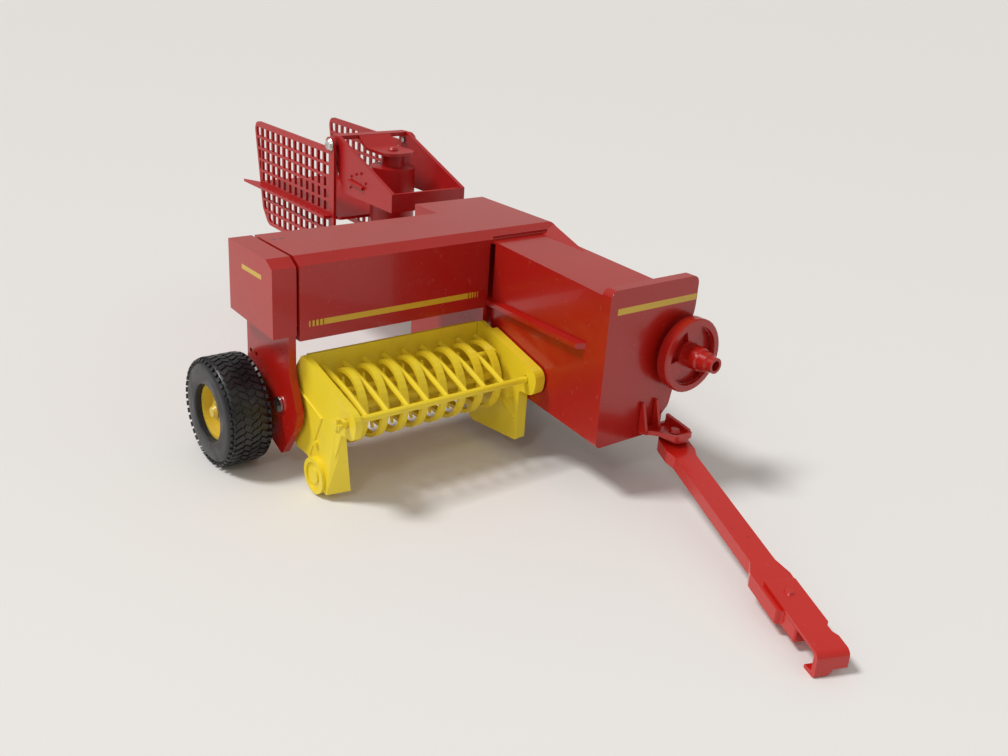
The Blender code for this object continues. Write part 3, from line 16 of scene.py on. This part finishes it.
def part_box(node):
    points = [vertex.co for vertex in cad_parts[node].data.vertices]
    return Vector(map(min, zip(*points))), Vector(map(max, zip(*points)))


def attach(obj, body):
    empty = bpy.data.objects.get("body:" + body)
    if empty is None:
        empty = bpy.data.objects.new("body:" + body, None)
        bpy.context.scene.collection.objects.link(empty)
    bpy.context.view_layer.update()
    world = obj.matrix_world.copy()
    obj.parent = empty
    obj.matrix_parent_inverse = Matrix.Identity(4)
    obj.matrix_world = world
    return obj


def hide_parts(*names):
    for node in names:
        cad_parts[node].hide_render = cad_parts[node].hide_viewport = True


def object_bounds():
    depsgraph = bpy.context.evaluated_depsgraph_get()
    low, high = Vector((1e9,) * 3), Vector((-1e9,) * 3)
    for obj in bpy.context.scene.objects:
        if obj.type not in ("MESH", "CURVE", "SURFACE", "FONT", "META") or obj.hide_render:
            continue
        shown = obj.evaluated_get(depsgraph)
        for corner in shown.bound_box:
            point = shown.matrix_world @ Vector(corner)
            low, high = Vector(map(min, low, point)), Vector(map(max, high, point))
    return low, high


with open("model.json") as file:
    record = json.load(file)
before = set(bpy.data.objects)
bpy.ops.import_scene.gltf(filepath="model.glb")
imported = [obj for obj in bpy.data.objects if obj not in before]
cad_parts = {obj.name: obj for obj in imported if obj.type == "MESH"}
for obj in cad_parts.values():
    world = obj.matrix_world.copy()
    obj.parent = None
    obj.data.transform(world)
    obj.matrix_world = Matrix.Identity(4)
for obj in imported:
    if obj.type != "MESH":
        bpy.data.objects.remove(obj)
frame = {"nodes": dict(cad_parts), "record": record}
cad_low, cad_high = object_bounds()
MM = 0.001
nodes = frame["nodes"]

# %% [markdown]
# A finish is a small graph of shader nodes. Written as nodes it takes a page for each paint, so a thin
# class wraps a socket and lets plus, minus and times build the Math nodes. The finish then reads like a
# formula.

# %% A socket that does arithmetic
class Value:
    def __init__(self, graph, socket):
        self.graph = graph
        self.socket = socket

    def math(self, operation, other=None, clamp=False):
        inputs = {0: self} if other is None else {0: self, 1: other}
        return self.graph.node("ShaderNodeMath", {"operation": operation, "use_clamp": clamp}, inputs)

    def __add__(self, other):
        return self.math("ADD", other)

    def __mul__(self, other):
        return self.math("MULTIPLY", other)

    def __sub__(self, other):
        return self.math("SUBTRACT", other)

    def __rsub__(self, other):
        return self.graph.node("ShaderNodeMath", {"operation": "SUBTRACT"}, {0: other, 1: self})

    __radd__ = __add__
    __rmul__ = __mul__

    def clamp(self):
        return self.math("ADD", 0.0, clamp=True)

# %% [markdown]
# The graph makes one node from its type, its settings and its inputs, in that order, because a setting
# such as an operation can change which inputs a node has. Patterns read Object coordinates, so they
# stay on the piece.

# %% A material's graph
class Graph:
    def __init__(self, name):
        self.material = bpy.data.materials.new(name)
        self.material.use_nodes = True
        self.tree = self.material.node_tree
        self.shader = self.tree.nodes["Principled BSDF"]
        self.place = self.node("ShaderNodeTexCoord", {}, {}, "Object")

    def node(self, kind, settings, inputs, output=0):
        made = self.tree.nodes.new(kind)
        for key, value in settings.items():
            setattr(made, key, value)
        for key, value in inputs.items():
            if isinstance(value, Value):
                self.tree.links.new(value.socket, made.inputs[key])
            else:
                made.inputs[key].default_value = value
        return Value(self, made.outputs[output])

    def axis(self, letter):
        """One coordinate of the piece's own place."""
        made = self.tree.nodes.new("ShaderNodeSeparateXYZ")
        self.tree.links.new(self.place.socket, made.inputs["Vector"])
        return Value(self, made.outputs[letter])

    def between(self, letter, low, high):
        """1 where a coordinate lies from low to high, else 0."""
        along = self.axis(letter)
        return along.math("GREATER_THAN", low) * along.math("LESS_THAN", high)

    def noise(self, scale, detail=3.0, roughness=0.5):
        inputs = {"Vector": self.place, "Scale": scale, "Detail": detail, "Roughness": roughness}
        return self.node("ShaderNodeTexNoise", {}, inputs, "Fac")

    def ramp(self, value, low, high):
        inputs = {"Value": value, "From Min": low, "From Max": high}
        return self.node("ShaderNodeMapRange", {"interpolation_type": "SMOOTHSTEP"}, inputs)

    def mask(self, boxes):
        """1 inside any of the boxes, each given as its ranges along X, Y and Z, else 0."""
        total = 0.0
        for across, side, up in boxes:
            inside = self.between("X", *across) * self.between("Y", *side) * self.between("Z", *up)
            total = inside + total
        return total.clamp()

    def mix(self, factor, first, second):
        """Two colours mixed; a Mix node set to colours takes them as inputs 6 and 7, and gives output 2."""
        return self.node("ShaderNodeMix", {"data_type": "RGBA"}, {0: factor, 6: first, 7: second}, 2)

    def bump(self, height, strength, distance):
        inputs = {"Height": height, "Strength": strength, "Distance": distance}
        return self.node("ShaderNodeBump", {}, inputs, "Normal")

    def connect(self, **inputs):
        for key, value in inputs.items():
            socket = self.shader.inputs[key.replace("_", " ")]
            if isinstance(value, Value):
                self.tree.links.new(value.socket, socket)
            else:
                socket.default_value = value
        return self.material

# %% [markdown]
# Enamel on a casting isn't flat: it gathers a little, it holds fine orange peel, and handling leaves a haze
# of tiny scratches. Noises from coarse to fine give the drift of the colour, the haze, the dust, a few tiny
# chips and the peel. Printed bars are masks over the colour, and the two slots in the top are masks painted
# near black as painted shade of their recesses.

# %% Red enamel
DEEP_RED = (0.34, 0.006, 0.003, 1)
LIGHT_RED = (0.47, 0.011, 0.006, 1)
PRINT_YELLOW = (0.62, 0.40, 0.02, 1)
# Near black for the slots in the top: painted shade in place of their recesses.
SLOT_SHADE = (0.045, 0.004, 0.004, 1)
DUSTY_RED = (0.50, 0.26, 0.22, 1)
CHIPPED_RED = (0.10, 0.012, 0.012, 1)


def red_enamel(name, bars=(), slots=(), deep=DEEP_RED, light=LIGHT_RED):
    """Enamel, with yellow bars, and slots painted near black as painted shade, where the given boxes are."""
    graph = Graph(name)
    drift = graph.noise(16.0, detail=4.0)
    haze = graph.noise(70.0, detail=5.0, roughness=0.6)
    dust = graph.ramp(graph.noise(230.0, detail=7.0, roughness=0.7), low=0.60, high=0.80)
    chips = graph.ramp(graph.noise(420.0), low=0.735, high=0.75)
    colour = graph.mix(drift, deep, light)
    if bars:
        colour = graph.mix(graph.mask(bars), colour, PRINT_YELLOW)
    if slots:
        colour = graph.mix(graph.mask(slots), colour, SLOT_SHADE)
    colour = graph.mix(dust * 0.14, colour, DUSTY_RED)
    colour = graph.mix(chips * 0.55, colour, CHIPPED_RED)
    peel = graph.noise(850.0, detail=2.0)
    relief = graph.bump(peel * 0.5 - chips * 0.6, strength=0.16, distance=0.1 * MM)
    return graph.connect(Base_Color=colour, Roughness=0.17 + haze * 0.15 + dust * 0.2, Normal=relief,
                         Coat_Weight=0.10 + haze * 0.20)

# %% [markdown]
# Moulded plastic is duller than enamel, and its skin is slightly grained by the mould. The red of the
# thrower is a touch more crimson than the casting, and the yellow pieces carry patches of grey dust.
# The tyres are near black with paler dust, and the bright steel is stained in places.

# %% Plastic, rubber and steel
DUSTY_PLASTIC = (0.20, 0.17, 0.12, 1)
DEEP_RUBBER = (0.006, 0.006, 0.008, 1)
WORN_RUBBER = (0.014, 0.014, 0.017, 1)
DUSTY_RUBBER = (0.10, 0.095, 0.085, 1)
CLEAN_STEEL = (0.66, 0.65, 0.62, 1)
STAINED_STEEL = (0.34, 0.31, 0.27, 1)
HEAD_YELLOW = (0.66, 0.46, 0.03, 1)


def moulded(name, deep, light, gloss, grime):
    graph = Graph(name)
    drift = graph.noise(25.0, detail=4.0)
    patch = graph.ramp(graph.noise(60.0, detail=6.0, roughness=0.65), low=0.52, high=0.72)
    colour = graph.mix(drift, deep, light)
    colour = graph.mix(patch * grime, colour, DUSTY_PLASTIC)
    grain = graph.bump(graph.noise(1400.0), strength=0.15, distance=0.06 * MM)
    return graph.connect(Base_Color=colour, Roughness=gloss + patch * 0.18 + drift * 0.08, Normal=grain)


def black_rubber():
    graph = Graph("black_rubber")
    drift = graph.noise(30.0, detail=5.0, roughness=0.6)
    dust = graph.ramp(graph.noise(90.0, detail=6.0, roughness=0.7), low=0.48, high=0.72)
    colour = graph.mix(drift, DEEP_RUBBER, WORN_RUBBER)
    colour = graph.mix(dust * 0.16, colour, DUSTY_RUBBER)
    grain = graph.bump(graph.noise(1100.0, detail=4.0), strength=0.25, distance=0.12 * MM)
    return graph.connect(Base_Color=colour, Roughness=0.28 + drift * 0.12 + dust * 0.25, Normal=grain)


def plated_steel(name, bare_length=None):
    """Bright steel; given the range along Y that is bare, the rest is painted like the rims."""
    graph = Graph(name)
    stain = graph.ramp(graph.noise(160.0, detail=5.0, roughness=0.6), low=0.50, high=0.75)
    brushed = graph.noise(700.0)
    colour = graph.mix(stain, CLEAN_STEEL, STAINED_STEEL)
    metal = 1.0 - stain * 0.25
    if bare_length:
        bare = graph.between("Y", *bare_length)
        colour = graph.mix(bare, HEAD_YELLOW, colour)
        metal = metal * bare
    return graph.connect(Base_Color=colour, Metallic=metal, Roughness=0.20 + brushed * 0.15 + stain * 0.2,
                         Normal=graph.bump(brushed, strength=0.1, distance=0.04 * MM))

# %% [markdown]
# The maker prints plain yellow bars on the enamel: a long one on the cross housing that breaks into
# ticks at both ends, a short one on the end cap and a broad one over the flywheel. A print has no
# thickness, so it is a mask in the paint. Each bar is a small box that holds only the printed face. Its
# place sideways comes from the piece, and its height and the front of the housing are plain places in
# the frame.

# %% Printed bars
case_low, case_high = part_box("bale_case")
cap_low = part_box("feeder_end_frame")[0]
panel_low, panel_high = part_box("front_panel")
house_front = 10.2 * MM
front_face = (house_front - 0.4 * MM, house_front + 0.4 * MM)
cap_face = (cap_low.y - 1 * MM, cap_low.y + 0.3 * MM)
panel_face = (panel_high.x - 0.4 * MM, panel_high.x + 1 * MM)
house_bar_height = (69.0 * MM, 71.6 * MM)
cap_bar_height = (88.8 * MM, 90.8 * MM)
panel_bar_height = (83.6 * MM, 86.4 * MM)


def from_right_end(start, end):
    """A stretch along the housing in mm from its right end."""
    return (case_low.y + start * MM, case_low.y + end * MM)


long_bar = (11.2, 85.4)
right_ticks = ((4.3, 4.9), (5.9, 6.8), (7.6, 8.7), (9.4, 10.7))
left_ticks = ((86.0, 87.0), (87.5, 88.3), (89.0, 89.6), (90.5, 90.9))
house_bars = [(front_face, from_right_end(*stretch), house_bar_height)
              for stretch in (long_bar, *right_ticks, *left_ticks)]
cap_bar = ((house_front - 27.4 * MM, house_front - 9.6 * MM), cap_face, cap_bar_height)
panel_bar = (panel_face, (panel_low.y + 4.6 * MM, panel_high.y - 0.4 * MM), panel_bar_height)
print("bars on the housing:", len(house_bars))

# %% [markdown]
# Every node gets the finish of its own stock. The record names the slot of each piece, so one table
# from slot to finish dresses the whole toy, and the three printed pieces then take enamel of their own.

# %% Dress the pieces
finishes = {
    "red_paint": red_enamel("red_enamel"),
    "red_plastic": moulded("red_plastic", deep=(0.36, 0.006, 0.007, 1), light=(0.48, 0.010, 0.010, 1),
                           gloss=0.30, grime=0.08),
    "yellow_plastic": moulded("yellow_plastic", deep=(0.80, 0.60, 0.018, 1), light=(0.92, 0.74, 0.035, 1),
                              gloss=0.30, grime=0.10),
    "yellow_rim": moulded("yellow_rim", deep=(0.60, 0.40, 0.02, 1), light=(0.74, 0.54, 0.04, 1),
                          gloss=0.36, grime=0.30),
    "tyre_rubber": black_rubber(),
    "bright_steel": plated_steel("plated_steel"),
}


def dress(piece, finish):
    piece.data.materials.clear()
    piece.data.materials.append(finish)


for part in frame["record"]["subparts"]:
    dress(nodes[part["node"]], finishes[part["material_slot"]])
top_face = (case_high.z - 0.3 * MM, case_high.z + 1 * MM)
slot_row = (house_front - 30.6 * MM, house_front - 29.7 * MM)
# The two slots in the top are painted near black, as painted shade of their recesses.
shaded_top_slots = [(slot_row, from_right_end(*stretch), top_face) for stretch in ((2.9, 5.2), (6.4, 9.4))]
printed = {
    "bale_case": red_enamel("case_enamel", bars=house_bars, slots=shaded_top_slots),
    "feeder_end_frame": red_enamel("cap_enamel", bars=[cap_bar]),
    "front_panel": red_enamel("panel_enamel", bars=[panel_bar]),
}
for name, enamel in printed.items():
    dress(nodes[name], enamel)
print("finishes:", len(finishes) + len(printed))

# %% [markdown]
# The drawbar was sprayed on its own in a brighter red, with its hook, its pin and its bracket. The axle
# is bare steel between its two ends, which are yellow like the rims they hold.

# %% Drawbar and axle
bright_red = red_enamel("drawbar_enamel", deep=(0.46, 0.009, 0.005, 1), light=(0.60, 0.016, 0.009, 1))
for name in ("drawbar", "hitch_hook", "drawbar_pin", "drawbar_bracket"):
    dress(nodes[name], bright_red)
axle_low, axle_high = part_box("axle")
painted_end = 6 * MM
bare_axle = (axle_low.y + painted_end, axle_high.y - painted_end)
dress(nodes["axle"], plated_steel("axle_steel", bare_axle))

# %% [markdown]
# The tyres are soft black rubber with a worn farm tread: four rows of blocks that slant by turns, and a
# ring of shoulder blocks on each side. The body is a cylinder with rounded shoulders and a bored
# middle. One block of each row is shaped from a cube in edit mode and spun round the wheel's axis as
# copies.

# %% Tools for rubber
FACES_OUT = 0.9
BLOCK_TAPER = (0.80, 0.90, 1.0)
SHOULDER_ROUND = 4.2 * MM
EDGE_ROUND = 0.9 * MM
FLAT_TURN = (math.pi / 2, 0, 0)


def deselect():
    bpy.ops.object.select_all(action="DESELECT")


def active_in_edit():
    bpy.ops.object.mode_set(mode="EDIT")
    bpy.ops.mesh.select_all(action="SELECT")


def apply_modifier(piece, kind, **settings):
    change = piece.modifiers.new(kind.title(), kind)
    for key, value in settings.items():
        setattr(change, key, value)
    bpy.ops.object.modifier_apply(modifier=change.name)


def tread_ring(count, size, slant, lean, across, height, start):
    """Blocks round the Y axis: slant turns a block on the tread, lean tips it over the shoulder."""
    deselect()
    bpy.ops.mesh.primitive_cube_add(size=1.0)
    ring = bpy.context.object
    active_in_edit()
    bpy.ops.transform.resize(value=size)
    bpy.ops.mesh.select_all(action="DESELECT")
    bpy.ops.mesh.select_mode(type="FACE")
    work = bmesh.from_edit_mesh(ring.data)
    for face in work.faces:
        face.select_set(face.normal.z > FACES_OUT)
    bmesh.update_edit_mesh(ring.data)
    bpy.ops.transform.resize(value=BLOCK_TAPER)
    bpy.ops.mesh.select_all(action="SELECT")
    middle = {"center_override": (0.0, 0.0, 0.0)}
    bpy.ops.transform.rotate(value=slant, orient_axis="Z", **middle)
    bpy.ops.transform.rotate(value=lean, orient_axis="X", **middle)
    bpy.ops.transform.translate(value=(0.0, across, height))
    step = 2 * math.pi / count
    bpy.ops.transform.rotate(value=start * step, orient_axis="Y", **middle)
    copies = count - 1
    bpy.ops.mesh.spin(steps=copies, dupli=True, angle=step * copies, center=(0, 0, 0), axis=(0, 1, 0))
    bpy.ops.mesh.select_all(action="SELECT")
    bpy.ops.mesh.normals_make_consistent(inside=False)
    bpy.ops.object.mode_set(mode="OBJECT")
    return ring


def cylinder(radius, depth, sides):
    """A cylinder along Y, left active."""
    deselect()
    bpy.ops.mesh.primitive_cylinder_add(vertices=sides, radius=radius, depth=depth, rotation=FLAT_TURN)
    made = bpy.context.object
    bpy.ops.object.transform_apply(location=True, rotation=True, scale=True)
    return made


def round_edges(piece, width, segments, sharper_than):
    apply_modifier(piece, "BEVEL", width=width, segments=segments, limit_method="ANGLE",
                   angle_limit=math.radians(sharper_than))


def tyre_body(radius, width, bore):
    rubber = cylinder(radius, width, sides=80)
    round_edges(rubber, SHOULDER_ROUND, segments=5, sharper_than=60)
    borer = cylinder(bore, 2 * width, sides=64)
    deselect()
    rubber.select_set(True)
    bpy.context.view_layer.objects.active = rubber
    apply_modifier(rubber, "BOOLEAN", operation="DIFFERENCE", solver="EXACT", object=borer)
    bpy.data.objects.remove(borer)
    round_edges(rubber, EDGE_ROUND, segments=2, sharper_than=50)
    return rubber

# %% [markdown]
# The finished tyre is joined, moved to the middle of the plain one it stands for, and shaded smooth up
# to a sharp angle so that each block keeps a crisp edge.

# %% Two treaded tyres
BORE = 12.8 * MM
BODY_GAP = 0.62 * MM
SIDE_GAP = 0.2 * MM
BLOCKS_ROUND = 44
BLOCK = (2.5 * MM, 3.9 * MM, 1.7 * MM)
BLOCK_SLANT = math.radians(32)
BLOCK_SINK = 0.1 * MM
ROWS = ((-1, -5.5 * MM, 0.0), (1, -1.9 * MM, 0.3), (-1, 1.9 * MM, 0.6), (1, 5.5 * MM, 0.1))
SHOULDER_BLOCK = (2.2 * MM, 3.4 * MM, 1.3 * MM)
SHOULDER_LEAN = math.radians(-38)
SHOULDER_INSET = 2.0 * MM
BEAD_RADIUS = 17.2 * MM
BEAD_SECTION = 0.7 * MM
BEAD_INSET = 0.85 * MM
SMOOTH_UP_TO = math.radians(32)


def tread(radius, width):
    """Four rows, each given as its slant's way, its place across and its start, and the two shoulders."""
    height = radius - BLOCK[2] / 2 - BLOCK_SINK
    rings = [tread_ring(BLOCKS_ROUND, BLOCK, way * BLOCK_SLANT, 0.0, across, height, start)
             for way, across, start in ROWS]
    for way in (-1, 1):
        across = way * (width / 2 - SHOULDER_INSET)
        lean = way * SHOULDER_LEAN
        start = 0.25 * way + 0.5
        height = radius - SHOULDER_INSET
        rings.append(tread_ring(BLOCKS_ROUND, SHOULDER_BLOCK, 0.0, lean, across, height, start))
    return rings


def beads(width):
    """A thin raised ring round the rim on both faces."""
    deselect()
    bpy.ops.mesh.primitive_torus_add(rotation=FLAT_TURN, major_radius=BEAD_RADIUS, minor_radius=BEAD_SECTION,
                                     major_segments=64, minor_segments=8)
    made = bpy.context.object
    bpy.ops.object.transform_apply(location=True, rotation=True, scale=True)
    active_in_edit()
    bpy.ops.transform.translate(value=(0.0, width / 2 - BEAD_INSET, 0.0))
    bpy.ops.mesh.duplicate()
    bpy.ops.transform.translate(value=(0.0, 2 * BEAD_INSET - width, 0.0))
    bpy.ops.object.mode_set(mode="OBJECT")
    return made


def treaded_tyre(name, node, body):
    low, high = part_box(node)
    radius = (high.z - low.z) / 2
    width = high.y - low.y
    rubber = tyre_body(radius - BODY_GAP, width - 2 * SIDE_GAP, BORE)
    pieces = tread(radius, width) + [beads(width), rubber]
    deselect()
    for piece in pieces:
        piece.select_set(True)
    bpy.context.view_layer.objects.active = rubber
    bpy.ops.object.join()
    active_in_edit()
    bpy.ops.transform.translate(value=(low + high) / 2)
    bpy.ops.object.mode_set(mode="OBJECT")
    bpy.ops.object.shade_smooth_by_angle(angle=SMOOTH_UP_TO)
    rubber.name = name
    dress(rubber, finishes["tyre_rubber"])
    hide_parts(node)
    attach(rubber, body)
    return rubber


for side in ("right", "left"):
    made = treaded_tyre(side + "_treaded_tyre", side + "_tyre", "wheel_" + side)
    print(made.name, "faces:", len(made.data.polygons))

# %% [markdown]
# A plain pale table runs under the toy and out of sight. The world is a pale grey to the camera and a
# soft warm light to everything else, so the light on the toy stays plain.

# %% Table and backdrop
TABLE_SIZE = 60.0
TABLE_COLOUR = (0.80, 0.785, 0.765, 1)
SOFT_LIGHT = (1.0, 0.97, 0.93, 1)
SOFT_STRENGTH = 0.44
BACKDROP = (0.74, 0.73, 0.71, 1)

deselect()
bpy.ops.mesh.primitive_plane_add(size=TABLE_SIZE, location=(0, 0, cad_low[2]))
table = bpy.context.object
table.name = "table_top"
table.data.materials.append(Graph("table_top").connect(Base_Color=TABLE_COLOUR, Roughness=0.75))

world = bpy.data.worlds.new("studio")
bpy.context.scene.world = world
world.use_nodes = True
world_tree = world.node_tree
soft = world_tree.nodes["Background"]
soft.inputs["Color"].default_value = SOFT_LIGHT
soft.inputs["Strength"].default_value = SOFT_STRENGTH
plain = world_tree.nodes.new("ShaderNodeBackground")
plain.inputs["Color"].default_value = BACKDROP
rays = world_tree.nodes.new("ShaderNodeLightPath")
chooser = world_tree.nodes.new("ShaderNodeMixShader")
surface = world_tree.nodes["World Output"].inputs["Surface"]
world_tree.links.new(rays.outputs["Is Camera Ray"], chooser.inputs["Fac"])
world_tree.links.new(soft.outputs["Background"], chooser.inputs[1])
world_tree.links.new(plain.outputs["Background"], chooser.inputs[2])
world_tree.links.new(chooser.outputs["Shader"], surface)
print("table:", table.name, "world:", world.name)

# %% [markdown]
# A broad distant lamp stands high on the toy's right and lights the whole table evenly, so no edge of
# light shows on it. A small lamp near the camera's side only adds the bright glints that glossy enamel
# needs.

# %% Lamps
def hang(light, direction, place=(0, 0, 0)):
    """Put a light in the scene, shining along a direction."""
    holder = bpy.data.objects.new(light.name, light)
    bpy.context.scene.collection.objects.link(holder)
    holder.location = place
    holder.rotation_euler = direction.to_track_quat("-Z", "Y").to_euler()


key_light = bpy.data.lights.new("key_lamp", "SUN")
key_light.angle = math.radians(14.0)
key_light.energy = 2.0
hang(key_light, direction=-Vector((-0.30, -0.60, 1.0)))

glint_place = Vector((0.55, -0.75, 0.75))
glint_target = Vector((0, 0, 0.05))
glint_light = bpy.data.lights.new("glint_lamp", "AREA")
glint_light.size = 0.12
glint_light.energy = 0.9
hang(glint_light, direction=glint_target - glint_place, place=glint_place)
print("lamps:", key_light.name, glint_light.name)

# %% [markdown]
# The camera looks down at the toy from its front right. It stands at a place, and its turn is worked
# out from a heading, a dip below the horizon and a slight roll.

# %% Camera
CAMERA_PLACE = (0.3745, -0.2573, 0.2216)
HEADING = math.radians(140.48)
DIP = math.radians(22.66)
ROLL = math.radians(4.1)
LENS = 37.5
SENSOR_WIDTH = 36.0

look = Vector((math.cos(DIP) * math.cos(HEADING), math.cos(DIP) * math.sin(HEADING), -math.sin(DIP)))
right = look.cross(Vector((0, 0, 1))).normalized()
above = right.cross(look)
turned_right = math.cos(ROLL) * right + math.sin(ROLL) * above
turned_up = math.cos(ROLL) * above - math.sin(ROLL) * right
turn = Matrix((turned_right, turned_up, -look)).transposed().to_4x4()
camera_data = bpy.data.cameras.new("camera")
camera_data.lens = LENS
camera_data.sensor_width = SENSOR_WIDTH
camera = bpy.data.objects.new("camera", camera_data)
bpy.context.scene.collection.objects.link(camera)
camera.matrix_world = Matrix.Translation(CAMERA_PLACE) @ turn
bpy.context.scene.camera = camera
bpy.context.scene.view_settings.view_transform = "Standard"
print("camera lens in mm:", LENS)
